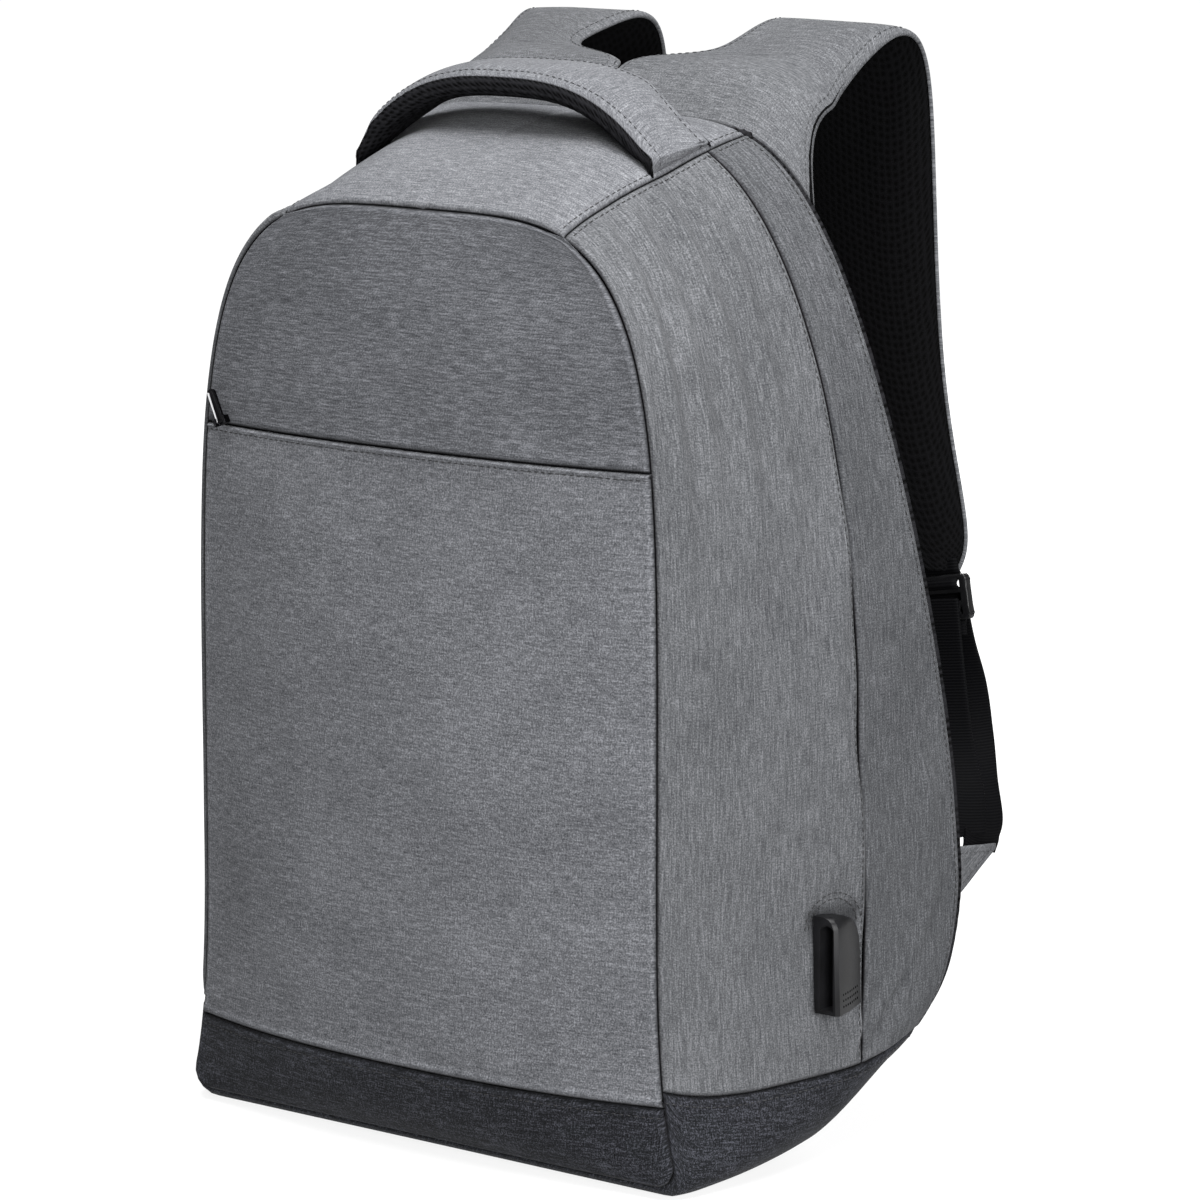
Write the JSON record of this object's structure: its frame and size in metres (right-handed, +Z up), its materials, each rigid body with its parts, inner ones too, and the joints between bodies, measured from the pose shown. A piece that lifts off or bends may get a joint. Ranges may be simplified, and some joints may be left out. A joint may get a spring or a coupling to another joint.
{
  "type": "backpack",
  "caption": "Heather grey laptop backpack with a padded front pocket, charcoal base, padded top handle, folded shoulder straps and a charging port on its side",
  "frame": {"origin": "centre of the flat base", "axes": "+Z up, -Y to the front, +X to the right seen from the front"},
  "size_m": [0.3167, 0.2445, 0.477],
  "materials": {
    "grey_cloth": "heather grey woven polyester",
    "charcoal_cloth": "charcoal heather woven polyester",
    "air_mesh": "black dimpled air mesh over foam",
    "black_webbing": "black ribbed nylon webbing",
    "zip_tape": "black coil zip on woven tape",
    "black_plastic": "moulded black plastic with a fine texture",
    "dark_metal": "dark plated zinc"
  },
  "bodies": {
    "bag": {"base_tray": "charcoal_cloth", "top_panel": "grey_cloth", "side_panel_right": "grey_cloth", "side_panel_left": "grey_cloth", "side_rear_right": "grey_cloth", "side_rear_left": "grey_cloth", "front_base_band": "charcoal_cloth", "front_pocket_panel": "grey_cloth", "pocket_zip": "zip_tape", "front_upper_panel": "grey_cloth", "back_panel": "air_mesh", "handle_pad": "air_mesh", "handle_cover": "grey_cloth", "strap_cover_right": "grey_cloth", "strap_cover_left": "grey_cloth", "strap_pad_right": "air_mesh", "strap_pad_left": "air_mesh", "ladder_lock_right": "black_plastic", "ladder_lock_left": "black_plastic", "webbing_right": "black_webbing", "webbing_left": "black_webbing", "webbing_tail_right": "black_webbing", "webbing_tail_left": "black_webbing", "strap_tab_right": "grey_cloth", "strap_tab_left": "grey_cloth", "zip_slider": "dark_metal", "usb_port": "black_plastic"},
    "pull": {"zip_pull": "dark_metal"}
  },
  "joints": [
    {"name": "zip_pull_swing", "type": "hinge", "parent": "bag", "child": "pull", "pos_m": [-0.106, -0.08821, 0.3075], "axis": [0.9135, 0, 0.4067], "range_deg": [0, 160]}
  ]
}
